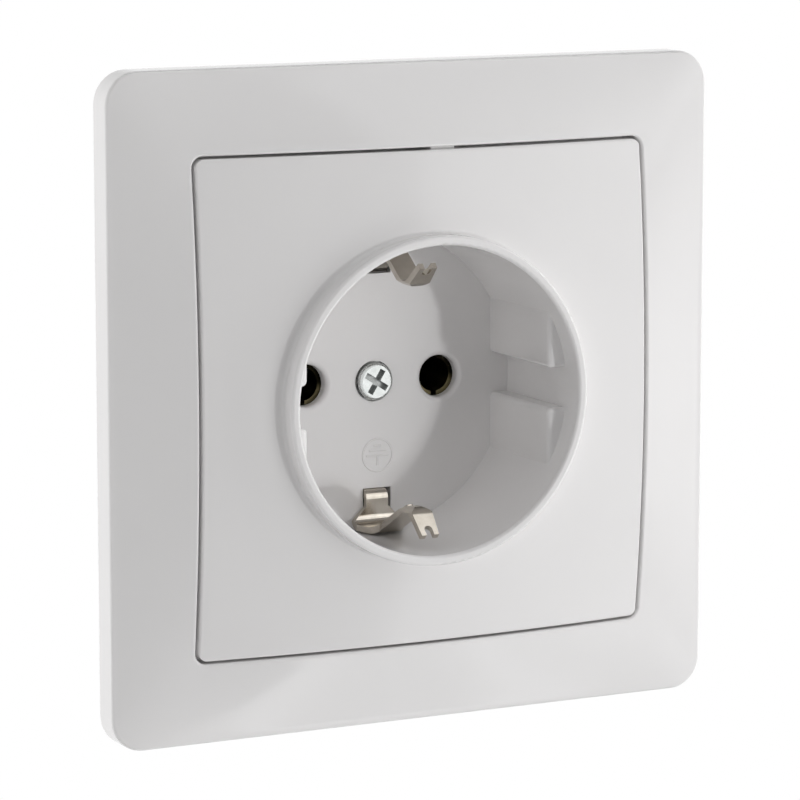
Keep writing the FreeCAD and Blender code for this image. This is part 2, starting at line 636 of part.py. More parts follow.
def make_plate():
    """Centre plate: crowned shell, skirt, lip, well with guide ribs, and pierced floor."""
    body = new_body("centre_plate")
    shell = crown_sketch(body, "shell")
    add_crown_band(shell, "crown_radius - plate_wall", "crown_radius")
    roll(shell)
    trim = new_sketch(body, "trim")
    add_rounded(trim, "0", "0", "plate_side", "plate_side", "plate_corner")
    add_circle(trim, "0", "0", "2 * plate_side")
    pocket(trim)
    skirt = new_sketch(body, "skirt", "seat_height")
    add_rounded(skirt, "0", "0", "plate_side", "plate_side", "plate_corner")
    inner = "plate_side - 2 * skirt_wall"
    add_rounded(skirt, "0", "0", inner, inner, "plate_corner")
    pad(skirt, "crown_top - seat_height")
    nub = new_sketch(body, "nub", "seat_height")
    add_rectangle(nub, "nub_offset - nub_width / 2", "nub_offset + nub_width / 2",
                  "plate_side / 2 - skirt_wall / 2", "plate_side / 2 + plate_gap - thread_gap")
    pad(nub, "nub_length")
    webs = new_sketch(body, "web", "seat_height")
    add_rectangle(webs, "-web_thick / 2", "web_thick / 2", "well_radius + cup_wall / 2",
                  "plate_side / 2 - skirt_wall / 2")
    web = pad(webs, "crown_top - plate_wall - web_thick / 2 - seat_height")
    turn_about_axis(body, web, 2)
    above = crown_sketch(body, "above")
    add_crown_band(above, "crown_radius", "crown_radius + crown_top")
    roll(above, cut=True)
    soften_outline(body)
    cup = new_sketch(body, "cup", "floor_back")
    add_circle(cup, "0", "0", "cup_radius")
    pad(cup, "crown_top - plate_wall - floor_back")
    lip = new_sketch(body, "lip", role="XY_Plane")
    add_lip_profile(lip)
    revolve(lip)
    well = new_sketch(body, "well", "rim_height")
    add_circle(well, "0", "0", "well_radius")
    pocket(well, "well_depth")
    ribs = new_sketch(body, "ribs", "floor_height")
    for side in ("", "-"):
        for level in ("", "-"):
            add_rib(ribs, side, level)
    pad(ribs, "rib_height - floor_height")
    holes = new_sketch(body, "holes", "floor_height")
    for side in ("", "-"):
        far = f"{side}(clip_leg + clip_slot_length)"
        add_rectangle(holes, "-clip_slot_left", "clip_slot_right", f"{side}(clip_leg - thread_gap)", far)
    add_circle(holes, "0", "0", "screw_radius + fit_gap")
    pocket(holes, "floor_thick")
    add_pin_holes(body)
    seat = new_sketch(body, "seat", "floor_height")
    add_circle(seat, "0", "0", "screw_head_radius + fit_gap")
    pocket(seat, "screw_sink")
    round_edges(body, "Fillet", "rib_corner", on_rib_slot)
    round_edges(body, "Fillet", "rib_round", on_rib_front)
    return body


def on_rib_slot(edge):
    """Whether an edge runs along the depth where a rib's flat meets the slot."""
    chord, half_slot = number("rib_chord"), number("rib_slot / 2")
    return all(abs(abs(v.X) - chord) < 1e-3 and abs(abs(v.Z) - half_slot) < 1e-3
               for v in edge.Vertexes)


def on_rib_front(edge):
    """Whether an edge runs along the front of a guide rib's flat."""
    chord, height = number("rib_chord"), number("rib_height")
    return all(abs(abs(v.X) - chord) < 1e-3 and abs(v.Y + height) < 1e-3 for v in edge.Vertexes)


def add_rib(sketch, side, level):
    """Segment between the flat of a guide rib and the middle of the well's wall."""
    reach = "(well_radius + cup_wall / 2)"
    near = f"{level}rib_slot / 2"
    far = f"{level}sqrt({reach}^2 - rib_chord^2)"
    chord = f"{side}rib_chord"
    edge = f"{side}sqrt({reach}^2 - (rib_slot / 2)^2)"
    corners = [(chord, near), (edge, near), (chord, far)]
    points = [Vector(number(x), number(z), 0) for x, z in corners]
    circle = Part.Circle(Vector(0, 0, 0), Vector(0, 0, 1), number(reach))
    angles = [math.atan2(p.y, p.x) for p in points[1:]]
    forward = (side == "") == (level == "")
    start, end = angles if forward else angles[::-1]
    if end < start:
        end += 2 * math.pi
    arc = sketch.addGeometry(Part.ArcOfCircle(circle, start, end))
    arc_start, arc_end = (1, 2) if forward else (2, 1)
    first = sketch.addGeometry(Part.LineSegment(points[0], points[1]))
    last = sketch.addGeometry(Part.LineSegment(points[2], points[0]))
    sketch.addConstraint(Sketcher.Constraint("Coincident", first, 2, arc, arc_start))
    sketch.addConstraint(Sketcher.Constraint("Coincident", arc, arc_end, last, 1))
    sketch.addConstraint(Sketcher.Constraint("Coincident", last, 2, first, 1))
    pin_point(sketch, first, 1, chord, near)
    pin_point(sketch, first, 2, edge, near)
    pin_point(sketch, last, 1, chord, far)
    fix_radius(sketch, arc, reach)


def make_support_ring():
    """Pressed steel ring that lies on the wall: round opening, fixing slots, corner holes."""
    body = new_body("support_ring")
    outline = new_sketch(body, "outline")
    add_rounded(outline, "0", "0", "ring_side", "ring_side", "ring_corner")
    pad(outline, "ring_thick")
    holes = new_sketch(body, "holes", "ring_thick")
    add_circle(holes, "0", "0", "cup_bore")
    for sign in ("", "-"):
        add_circle(holes, f"{sign}ring_screw_across", f"{sign}ring_screw_up",
                   "ring_screw_radius + fit_gap")
        add_slot(holes, f"{sign}slot_pitch / 2", "0", "slot_length", "slot_width", True)
        add_slot(holes, "0", f"{sign}slot_pitch / 2", "slot_length", "slot_width", False)
        for level in ("", "-"):
            add_circle(holes, f"{sign}corner_pitch / 2", f"{level}corner_pitch / 2", "corner_hole_radius")
    pocket(holes, "ring_thick")
    return body


def make_base():
    """Insulating base: round front that takes the cup, block with chambers and wire entries."""
    body = new_body("socket_base")
    block = new_sketch(body, "block", "cover_back")
    add_rounded(block, "0", "0", "base_width", "base_high", "base_corner")
    pad(block, "base_depth + cover_back", back=True)
    barrel = new_sketch(body, "barrel")
    add_circle(barrel, "0", "0", "barrel_radius")
    pad(barrel, "shoulder_thick - cover_back", back=True)
    bore = new_sketch(body, "bore")
    add_circle(bore, "0", "0", "cup_bore")
    pocket(bore, "-cover_back")
    chambers = new_sketch(body, "chambers", "cover_back")
    for side in ("", "-"):
        add_chamber(chambers, f"{side}pin_pitch / 2")
    pocket(chambers, "cover_back - chamber_back")
    earth = new_sketch(body, "earth_chamber", "cover_back")
    add_rectangle(earth, "-cage_width / 2 - fit_gap", "cage_width / 2 + fit_gap",
                  "-chamber_reach", "-tongue_place + cage_window / 2 - cage_wall")
    pocket(earth, "cover_back - chamber_back")
    strap = new_sketch(body, "strap_channel", "cover_back")
    reach = "clip_leg + sheet_thick + clip_bend"
    add_rectangle(strap, "-bridge_width / 2 - fit_gap", "bridge_width / 2 + fit_gap", f"-({reach})", reach)
    pocket(strap, "sheet_thick")
    link = new_sketch(body, "link_channel", "strap_back")
    add_rectangle(link, "-tongue_width / 2 - fit_gap", "tongue_width / 2 + fit_gap",
                  "-tongue_place", "nut_side / 2 + fit_gap")
    pocket(link, "sheet_thick")
    nut = new_sketch(body, "nut_pocket", "link_back")
    add_rounded(nut, "0", "0", "nut_side + 2 * fit_gap", "nut_side + 2 * fit_gap", "fit_gap")
    pocket(nut, "nut_thick")
    tip = new_sketch(body, "tip_hole", "link_back")
    add_circle(tip, "0", "0", "screw_radius + fit_gap")
    pocket(tip, "link_back - head_seat + screw_length + fit_gap")
    screws = new_sketch(body, "ring_screw_holes")
    for side in ("", "-"):
        add_circle(screws, f"{side}ring_screw_across", f"{side}ring_screw_up",
                   "ring_screw_radius + thread_gap")
    pocket(screws, "ring_screw_length + fit_gap")
    wires = new_sketch(body, "wire_holes", "-base_depth")
    level = "(cage_high + tongue_place + sheet_thick) / 2"
    for side in ("", "-"):
        add_circle(wires, f"{side}pin_pitch / 2", level, "wire_hole_radius")
    add_circle(wires, "0", f"-{level}", "wire_hole_radius")
    pocket(wires, "base_floor", back=False)
    add_access(body, ("pin_pitch / 2", "-pin_pitch / 2"), "line", False)
    add_access(body, ("0",), "earth", True)
    return body


def add_chamber(sketch, across):
    """Upright chamber with a round end under the pin and a flat end over the terminal."""
    half = "chamber_width / 2"
    left, right = f"{across} - {half}", f"{across} + {half}"
    x, radius = number(across), number(half)
    circle = Part.Circle(Vector(x, 0, 0), Vector(0, 0, 1), radius)
    arc = sketch.addGeometry(Part.ArcOfCircle(circle, math.pi, 2 * math.pi))
    corners = ((right, "0"), (right, "chamber_reach"), (left, "chamber_reach"), (left, "0"))
    points = [Vector(number(a), number(b), 0) for a, b in corners]
    lines = [sketch.addGeometry(Part.LineSegment(a, b)) for a, b in zip(points, points[1:])]
    sketch.addConstraint(Sketcher.Constraint("Tangent", arc, 2, lines[0], 1))
    sketch.addConstraint(Sketcher.Constraint("Coincident", lines[0], 2, lines[1], 1))
    sketch.addConstraint(Sketcher.Constraint("Coincident", lines[1], 2, lines[2], 1))
    sketch.addConstraint(Sketcher.Constraint("Tangent", lines[2], 2, arc, 1))
    pin_point(sketch, arc, 3, across, "0")
    pin_point(sketch, lines[1], 1, *corners[1])
    pin_point(sketch, lines[1], 2, *corners[2])
    fix_radius(sketch, arc, half)


def add_access(body, places, name, below):
    """Holes along Z through the base's wall, over the terminal screws."""
    sketch = new_sketch(body, f"{name}_access", "-base_high" if below else "base_high", "XY_Plane")
    for across in places:
        add_circle(sketch, across, "cage_length / 2 - cage_front", "access_radius")
    pocket(sketch, "base_high - chamber_reach + fit_gap", back=not below)


def make_contact_cover():
    """Insulating disc between the chambers and the floor of the well."""
    body = new_body("contact_cover")
    disc = new_sketch(body, "disc", "floor_back")
    add_circle(disc, "0", "0", "cup_bore - fit_gap")
    pad(disc, "cover_thick", back=True)
    holes = new_sketch(body, "holes", "floor_back")
    for side in ("", "-"):
        add_circle(holes, f"{side}pin_pitch / 2", "0", "sleeve_radius + fit_gap")
        add_rectangle(holes, "-bridge_width / 2 - fit_gap", "bridge_width / 2 + fit_gap",
                      f"{side}(clip_leg - clip_bend - fit_gap)",
                      f"{side}(clip_leg + sheet_thick + clip_bend)")
    add_circle(holes, "0", "0", "screw_radius + fit_gap")
    pocket(holes, "cover_thick")
    return body


def make_contact(label, side):
    """Split round sleeve for one pin with its tail and terminal tongue, bent from one strip."""
    body = new_body(label)
    across = f"{side}pin_pitch / 2"
    tube = new_sketch(body, "tube", "sleeve_front")
    add_circle(tube, across, "0", "sleeve_radius")
    pad(tube, "sleeve_length", back=True)
    left, right = f"{across} - tongue_width / 2", f"{across} + tongue_width / 2"
    tail = new_sketch(body, "tail", "tail_front")
    add_rectangle(tail, left, right, "0", "tongue_place + sheet_thick")
    pad(tail, "sheet_thick", back=True)
    tongue = new_sketch(body, "tongue", "tail_front")
    add_rectangle(tongue, left, right, "tongue_place", "tongue_place + sheet_thick")
    pad(tongue, "sheet_thick + fit_gap + cage_length", back=True)
    bore = new_sketch(body, "bore", "sleeve_front")
    add_circle(bore, across, "0", "sleeve_bore")
    pocket(bore, "sleeve_length")
    slit = new_sketch(body, "slit", "sleeve_front")
    add_rectangle(slit, f"{across} - sleeve_slit / 2", f"{across} + sleeve_slit / 2",
                  "-sleeve_radius - fit_gap", "sleeve_radius + fit_gap")
    pocket(slit, "sleeve_slit_length")
    return body


def make_spring(label, side):
    """Slotted steel ring round the front half of a sleeve."""
    body = new_body(label)
    across = f"{side}pin_pitch / 2"
    ring = new_sketch(body, "ring", "spring_front")
    inner = "sleeve_radius + thread_gap"
    add_circle(ring, across, "0", f"{inner} + spring_thick")
    add_circle(ring, across, "0", inner)
    pad(ring, "spring_length", back=True)
    slot = new_sketch(body, "slot", "spring_front")
    add_rectangle(slot, f"{across} - spring_slot / 2", f"{across} + spring_slot / 2",
                  f"-({inner} + 2 * spring_thick)", "0")
    pocket(slot, "spring_length")
    return body


def make_cage(label, across, level):
    """Terminal cage: the tongue lies on its lower wall and the screw goes through the other."""
    body = new_body(label)
    side = "cage_width / 2"
    outer = new_sketch(body, "outer", "cage_front")
    add_rectangle(outer, f"{across} - {side}", f"{across} + {side}", f"{level}cage_low", f"{level}cage_top")
    pad(outer, "cage_length", back=True)
    window = new_sketch(body, "window", "cage_front")
    add_rectangle(window, f"{across} - {side} + cage_side", f"{across} + {side} - cage_side",
                  f"{level}tongue_place", f"{level}cage_high")
    pocket(window, "cage_length")
    thread = new_sketch(body, "thread", f"{level}cage_top", "XY_Plane")
    add_circle(thread, across, "cage_length / 2 - cage_front", "clamp_radius + thread_gap")
    pocket(thread, "cage_head", back=level == "")
    return body


def make_clamp_screw(label, across, level):
    """Slotted cheese head screw along Z that presses on the terminal's tongue."""
    body = new_body(label)
    seat = f"{level}(cage_top + fit_gap)"
    place = "cage_length / 2 - cage_front"
    shank = new_sketch(body, "shank", seat, "XY_Plane")
    add_circle(shank, across, place, "clamp_radius")
    pad(shank, "clamp_length", back=level == "")
    head = new_sketch(body, "head", seat, "XY_Plane")
    add_circle(head, across, place, "clamp_head_radius")
    pad(head, "clamp_head_thick", back=level != "")
    slot = new_sketch(body, "slot", f"{level}(cage_top + fit_gap + clamp_head_thick)", "XY_Plane")
    add_rectangle(slot, f"{across} - clamp_head_radius - fit_gap", f"{across} + clamp_head_radius + fit_gap",
                  f"{place} - clamp_slot / 2", f"{place} + clamp_slot / 2")
    pocket(slot, "clamp_head_thick / 2", back=level == "")
    return body


def make_centre_screw():
    """Pan head screw with a cross recess, through the well's floor into the nut."""
    body = new_body("centre_screw")
    shank = new_sketch(body, "shank", "head_seat")
    add_circle(shank, "0", "0", "screw_radius")
    pad(shank, "screw_length", back=True)
    head = new_sketch(body, "head", "head_seat")
    add_circle(head, "0", "0", "screw_head_radius")
    pad(head, "screw_head_thick")
    cross = new_sketch(body, "cross", "head_top")
    long, wide = "cross_length / 2", "cross_width / 2"
    add_polygon(cross, ((long, f"-{wide}"), (long, wide), (wide, wide), (wide, long),
                        (f"-{wide}", long), (f"-{wide}", wide), (f"-{long}", wide), (f"-{long}", f"-{wide}"),
                        (f"-{wide}", f"-{wide}"), (f"-{wide}", f"-{long}"), (wide, f"-{long}"),
                        (wide, f"-{wide}")))
    cross.AttachmentOffset = Placement(Vector(), Rotation(Vector(0, 0, 1), number("cross_turn")))
    pocket(cross, "cross_depth")
    round_edges(body, "Fillet", "screw_head_round",
                lambda edge: is_circle(edge, "screw_head_radius", "head_top"))
    return body


def make_ring_screw(label, side):
    """Screw that holds the support ring to the base's round front."""
    body = new_body(label)
    across, up = f"{side}ring_screw_across", f"{side}ring_screw_up"
    shank = new_sketch(body, "shank", "ring_thick")
    add_circle(shank, across, up, "ring_screw_radius")
    pad(shank, "ring_screw_length", back=True)
    head = new_sketch(body, "head", "ring_thick")
    add_circle(head, across, up, "ring_screw_head")
    pad(head, "ring_screw_head_thick")
    slot = new_sketch(body, "slot", "ring_thick + ring_screw_head_thick")
    add_rectangle(slot, f"{across} - ring_screw_head - fit_gap", f"{across} + ring_screw_head + fit_gap",
                  f"{up} - clamp_slot / 2", f"{up} + clamp_slot / 2")
    pocket(slot, "ring_screw_head_thick / 2")
    return body


def make_nut():
    """Square nut for the centre screw, in its pocket behind the earth strip."""
    body = new_body("centre_nut")
    outline = new_sketch(body, "outline", "link_back")
    add_rectangle(outline, "-nut_side / 2", "nut_side / 2", "-nut_side / 2", "nut_side / 2")
    add_circle(outline, "0", "0", "screw_radius + thread_gap")
    pad(outline, "nut_thick", back=True)
    return body


def make_earth_link():
    """Bent strip from the nut to the earth terminal, behind the earth strip."""
    body = new_body("earth_link")
    left, right = "-tongue_width / 2", "tongue_width / 2"
    flat = new_sketch(body, "flat", "strap_back")
    add_rectangle(flat, left, right, "-tongue_place - sheet_thick", "nut_side / 2")
    pad(flat, "sheet_thick", back=True)
    tongue = new_sketch(body, "tongue", "strap_back")
    add_rectangle(tongue, left, right, "-tongue_place - sheet_thick", "-tongue_place")
    pad(tongue, "strap_back - cage_front + cage_length", back=True)
    hole = new_sketch(body, "hole", "strap_back")
    add_circle(hole, "0", "0", "screw_radius + fit_gap / 2")
    pocket(hole, "sheet_thick")
    return body


def bend_centre(before, corner, after, radius):
    """Centre of the arc that rounds a corner between two straight runs."""
    incoming = (corner - before).normalize()
    outgoing = (after - corner).normalize()
    half_turn = incoming.getAngle(outgoing) / 2
    return corner + (outgoing - incoming).normalize() * (radius / math.cos(half_turn))


def rounded_path(points, radii):
    """Wire of straight runs joined by tangent arcs at the inner points."""
    edges = []
    start = points[0]
    for before, corner, after, radius in zip(points, points[1:], points[2:], radii):
        incoming = (corner - before).normalize()
        outgoing = (after - corner).normalize()
        back = radius * math.tan(incoming.getAngle(outgoing) / 2)
        first, last = corner - incoming * back, corner + outgoing * back
        centre = bend_centre(before, corner, after, radius)
        middle = centre + (corner - centre).normalize() * radius
        edges.append(Part.LineSegment(start, first).toShape())
        edges.append(Part.Arc(first, middle, last).toShape())
        start = last
    edges.append(Part.LineSegment(start, points[-1]).toShape())
    return Part.Wire(edges)


def make_earth_strap():
    """One bent strip: bridge across the base and a sprung clip with a forked tip at each end."""
    upper = half_strap("upper")
    lower = half_strap("lower")
    strip = upper.fuse(lower.mirror(Vector(), Vector(0, 0, 1))).removeSplitter()
    thick = number("sheet_thick")
    hole = Part.makeCylinder(number("screw_radius + fit_gap / 2"), 2 * thick,
                             Vector(0, -number("cover_back"), 0), Vector(0, 1, 0))
    strap = doc.addObject("Part::Feature", "earth_strap")
    strap.Label = "earth_strap"
    strap.Shape = strip.cut(hole)
    return strap


def half_strap(which):
    """Upper half of the earth strip, with the hump and the tip of one of the two clips."""
    middle = number("sheet_thick / 2")
    bridge = -number("cover_back") + middle
    leg, wall = number("clip_leg") + middle, number("clip_wall") + middle
    rest = -number("floor_height + clip_rest") - middle
    turn = Vector(0, -number("clip_turn_height"), number("clip_turn") + middle)
    crest = Vector(0, -number(f"{which}_hump_height"), number(f"{which}_hump") + middle)
    end = Vector(0, -number(f"{which}_tip_height"), number(f"{which}_tip") + middle)
    points = [Vector(0, bridge, 0), Vector(0, bridge, leg), Vector(0, rest, leg),
              Vector(0, rest, wall), turn, crest, end]
    bend, hump_bend = number("clip_bend") + middle, number("clip_hump_bend")
    path = rounded_path(points, (bend, 2 * middle, bend, bend, hump_bend))
    top = bend_centre(turn, crest, end, hump_bend).z - hump_bend - middle
    ribbon = sweep_strip(path, number("clip_shoulder / 2"), middle)
    half = ribbon.common(plan_from_above(turn, crest, end)).common(plan_from_front(top))
    half = half.cut(notch(crest, end, 3 * middle))
    raised, sunk = bead(turn, crest, middle)
    return half.fuse(raised).cut(sunk)


def sweep_strip(path, half_width, half_thick):
    """Flat strip along a path that starts along Z."""
    start = path.Vertexes[0].Point
    corners = ((-half_width, -half_thick), (half_width, -half_thick),
               (half_width, half_thick), (-half_width, half_thick))
    section = Part.makePolygon([start + Vector(x, y, 0) for x, y in corners + corners[:1]])
    return path.makePipeShell([section], True, True)


def plan_from_above(turn, crest, end):
    """Prism along Z with the strip's widths from the bridge to the tip."""
    full, clip = number("clip_shoulder / 2"), number("clip_width / 2")
    profile = ((full, -number("cover_back") + 2 * number("sheet_thick")),
               (full, turn.y + number("clip_bend + sheet_thick")),
               (clip, turn.y - number("clip_bend")),
               (clip, crest.y),
               (number("clip_tip_width / 2"), end.y - number("sheet_thick")))
    return mirrored_face(profile, lambda x, y: Vector(x, y, 0)).extrude(Vector(0, 0, number("well_radius")))


def plan_from_front(top):
    """Prism along Y: the bridge, the narrow leg, the shoulders, and the hump with its crowned top."""
    bridge, clip = number("bridge_width / 2"), number("clip_width / 2")
    full = number("clip_shoulder / 2")
    leg, wall = number("clip_leg"), number("clip_wall")
    flare, bend = number("clip_flare"), number("clip_bend")
    profile = ((bridge, 0), (bridge, leg - 2 * bend), (clip, leg - bend), (clip, flare),
               (full, wall), (full, number("well_radius")))
    deep, front = -number("cover_back") + 2 * number("sheet_thick"), -number("floor_height") - wall
    face = mirrored_face(profile, lambda x, z: Vector(x, deep, z))
    prism = face.extrude(Vector(0, front - deep, 0))
    crown_size = number("clip_hump_crown")
    drop = crown_size - math.sqrt(crown_size ** 2 - clip ** 2)
    sides = [Vector(x, 0, top + drop) for x in (-clip, clip)]
    arc = Part.Arc(sides[0], Vector(0, 0, top), sides[1]).toShape()
    below = Part.makePolygon([sides[1], Vector(clip, 0, 0), Vector(-clip, 0, 0), sides[0]])
    trim = Part.Face(Part.Wire([arc] + below.Edges)).extrude(Vector(0, front, 0))
    return prism.cut(trim)


def mirrored_face(profile, place):
    """Face between a line of points on the right and its mirror image on the left."""
    right = [place(x, other) for x, other in profile]
    left = [place(-x, other) for x, other in reversed(profile)]
    return Part.Face(Part.makePolygon(right + left + right[:1]))


def flank_slot(middle, along, length, width, thick):
    """Upright slot with round ends, its middle line along a flank of the clip."""
    across = Vector(1, 0, 0)
    outward = across.cross(along).normalize()
    radius = width / 2
    foot = middle - outward * thick
    ends = [foot - along * (length / 2 - radius), foot + along * (length / 2 - radius)]
    tubes = [Part.makeCylinder(radius, 2 * thick, end, outward) for end in ends]
    a, b = ends
    corners = [a - across * radius, a + across * radius, b + across * radius, b - across * radius]
    block = Part.Face(Part.makePolygon(corners + corners[:1])).extrude(outward * (2 * thick))
    return block.fuse(tubes)


def notch(crest, end, thick):
    """Round notch that forks the clip's tip."""
    along = (end - crest).normalize()
    width, depth = number("clip_fork"), number("clip_fork_depth")
    return flank_slot(end + along * (width / 2), along, 2 * depth + width, width, thick)


def bead(turn, crest, middle):
    """Bead pressed into the clip's back: what stands out on one side and what is cut on the other."""
    along = (crest - turn).normalize()
    outward = Vector(1, 0, 0).cross(along).normalize()
    depth, width = number("bead_depth"), number("bead_width")
    length = (crest - turn).Length - 2 * number("bead_start")
    centre = (turn + crest) * 0.5
    body = flank_slot(centre, along, length, width, middle)
    inner = flank_slot(centre, along, length, width - depth, middle)
    away = outward * depth
    if (centre + away).z > centre.z:
        away = -away
    return body.translated(away), inner.translated(away - away.normalize() * 2 * middle)


def check_document():
    """Stop where an object failed, or a sub-part has no sound shape."""
    for item in doc.Objects:
        if {"Invalid", "Error"} & set(item.State):
            raise ValueError(f"{item.Name} failed: {item.State}")
    for piece in PIECES:
        if piece.Shape.isNull() or not piece.Shape.isValid() or len(piece.Shape.Solids) != 1:
            raise ValueError(f"{piece.Label} has no sound solid")


sheet = make_sheets()
left_place, right_place = "-pin_pitch / 2", "pin_pitch / 2"
PIECES = [
    make_frame(),
    make_plate(),
    make_centre_screw(),
    make_support_ring(),
    make_base(),
    make_contact_cover(),
    make_earth_strap(),
    make_earth_link(),
    make_nut(),
    make_contact("line_contact", "-"),
    make_contact("neutral_contact", ""),
    make_spring("line_spring", "-"),
    make_spring("neutral_spring", ""),
    make_cage("line_terminal_cage", left_place, ""),
    make_cage("neutral_terminal_cage", right_place, ""),
    make_cage("earth_terminal_cage", "0", "-"),
    make_clamp_screw("line_terminal_screw", left_place, ""),
    make_clamp_screw("neutral_terminal_screw", right_place, ""),
    make_clamp_screw("earth_terminal_screw", "0", "-"),
    make_ring_screw("left_ring_screw", "-"),
    make_ring_screw("right_ring_screw", ""),
]
doc.recompute()
check_document()
os.makedirs("parts", exist_ok=True)
for piece in PIECES:
    piece.Shape.exportStep(f"parts/{piece.Label}.step")
    box = piece.Shape.BoundBox
    print(f"{piece.Label}: {piece.Shape.Volume:.1f} mm3, Y {box.YMin:.2f} to {box.YMax:.2f}")
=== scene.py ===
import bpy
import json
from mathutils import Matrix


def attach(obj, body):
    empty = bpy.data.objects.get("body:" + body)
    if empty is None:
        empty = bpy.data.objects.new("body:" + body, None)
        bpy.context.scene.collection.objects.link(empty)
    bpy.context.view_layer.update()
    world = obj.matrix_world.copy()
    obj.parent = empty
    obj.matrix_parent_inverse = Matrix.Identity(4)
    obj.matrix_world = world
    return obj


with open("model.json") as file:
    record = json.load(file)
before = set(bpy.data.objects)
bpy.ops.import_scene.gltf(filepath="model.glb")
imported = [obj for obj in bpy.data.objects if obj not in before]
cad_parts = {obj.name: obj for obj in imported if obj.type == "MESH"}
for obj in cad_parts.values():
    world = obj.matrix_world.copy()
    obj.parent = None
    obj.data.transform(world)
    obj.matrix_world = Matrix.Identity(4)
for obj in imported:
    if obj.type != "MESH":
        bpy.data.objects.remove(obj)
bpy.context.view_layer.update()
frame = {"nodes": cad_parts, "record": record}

import json
import math

import bmesh
import bpy
from mathutils import Matrix, Vector

# Row frame, in metres: X to the right and Z up on the wall, Y into the wall.
MM = 0.001

# Earth sign on the floor of the well, with its centre as an (x, z) place on the part.
WELL_FLOOR_Y = 8.15 * MM
SIGN_CENTRE = (0.5 * MM, -9.68 * MM)
SIGN_RADIUS = 2.12 * MM
SIGN_RING_POINTS = 48
# Height of each bar over the centre and half its length, and the heights of the stem's ends,
# all in millimetres.
SIGN_BARS = ((-0.05, 1.6), (0.6, 1.2), (1.25, 0.55))
SIGN_STEM = (-0.05, -1.35)
RELIEF_HEIGHT = 0.09 * MM
RELIEF_WIDTH = 0.3 * MM
# Section of the relief, from side to side: shares of its half width and of its height.
# Its feet reach a little into the floor.
RELIEF_SECTION = ((-1, -0.2), (-0.5, 1), (0.5, 1), (1, -0.2))

# Values between which the noises mostly lie.
NOISE_RANGE = (0.3, 0.7)
# Scale, in features per metre, and detail of the noises.
CLOUDING = (90.0, 2.0)
PLASTIC_GLOSS = (260.0, 4.0)
METAL_TONE = (350.0, 4.0)
GRAIN_DETAIL = 2.0
MARKS_DETAIL = 5.0
# Least and greatest roughness, as shares of the mean one.
PLASTIC_ROUGHNESS = (0.85, 1.15)
METAL_ROUGHNESS = (0.7, 1.4)
PLASTIC_IOR = 1.5
MARKS_DEPTH = 0.002 * MM

# Painted shade in the screw's cross recess, darker with depth: its reach from the part's axis,
# the depths at which the shade starts and is full, and the share of the brightness that is left.
# The shank and what lies round it within this reach are deeper, and so get the painted shade too.
SCREW_RECESS_SHADE = (1.95 * MM, 7.4 * MM, 8.0 * MM, 0.5)
RECESS_SHADE_EDGE = 0.1 * MM
# Places with painted shade: coordinates, each with the values at which the shade starts and is
# full, and the share of the brightness that is left. The first is painted shade meant for the
# upper clip's leg in its slot and takes in all of nickel_strip above and behind there. The second
# is painted shade meant for the insides of the pin sleeves and takes in all of contact_brass over
# the level of the pins.
CLIP_SHADE = ((("Z", 0.0, 1.0 * MM), ("Y", 5.8 * MM, 6.8 * MM)), 0.15)
CONTACT_SHADE = ((("Z", -0.9 * MM, 0.1 * MM),), 0.06)

# Scales of the noise along X, Y and Z that draw the rolling marks out along one of them.
ALONG_X, ALONG_Y, ALONG_Z = (0.08, 1, 1), (1, 0.08, 1), (1, 1, 0.08)

# Looks of the slots: see moulded and metal.
MOULDINGS = {
    "white_moulding": dict(dark=(0.895, 0.883, 0.881), bright=(0.905, 0.893, 0.891),
                           roughness=0.09, grain=0.004 * MM, grain_scale=2600.0),
    "base_moulding": dict(dark=(0.625, 0.625, 0.605), bright=(0.645, 0.645, 0.625),
                          roughness=0.45, grain=0.02 * MM, grain_scale=3000.0),
    "cover_moulding": dict(dark=(0.016, 0.016, 0.018), bright=(0.02, 0.02, 0.022),
                           roughness=0.5, grain=0.02 * MM, grain_scale=3000.0),
}
METALS = {
    "ring_steel": dict(dark=(0.46, 0.475, 0.49), bright=(0.58, 0.595, 0.61), roughness=0.34,
                       stretch=ALONG_X),
    "screw_steel": dict(dark=(0.50, 0.52, 0.51), bright=(0.60, 0.62, 0.61), roughness=0.26,
                        stretch=ALONG_Y, marks_scale=1500.0, recess=SCREW_RECESS_SHADE),
    "spring_steel": dict(dark=(0.3, 0.3, 0.31), bright=(0.4, 0.4, 0.41), roughness=0.32,
                         stretch=ALONG_Y),
    "nickel_strip": dict(dark=(0.47, 0.43, 0.375), bright=(0.58, 0.54, 0.48), roughness=0.16,
                         stretch=ALONG_Z, marks_scale=1400.0, shade=CLIP_SHADE),
    # The dark colour of contact_brass is painted shade, so that the pin holes read as dark.
    "contact_brass": dict(dark=(0.13, 0.11, 0.06), bright=(0.18, 0.15, 0.08), roughness=0.35,
                          stretch=ALONG_Y, shade=CONTACT_SHADE),
}

# Camera, as fitted to the photo, with angles in degrees. The offset is how far to the right and
# down the part's origin lies from the middle of the picture, and the sensor is in millimetres.
CAMERA_DISTANCE = 523.4 * MM
CAMERA_AZIMUTH = -27.0
CAMERA_ELEVATION = 8.84
FOCAL_PIXELS = 4123.8
FRAME_PIXELS = 800
OFFSET_PIXELS = (2.6, -10.3)
SENSOR_WIDTH = 36.0

# Floor, in metres, and how brightly the world lights the part where the background shows as 1.
STAGE_LEVEL = -1.6
STAGE_HALF = 4.0
STAGE_COLOUR = (0.8, 0.8, 0.8)
WHITE = (1.0, 1.0, 1.0)
WORLD_LIGHT = 0.131

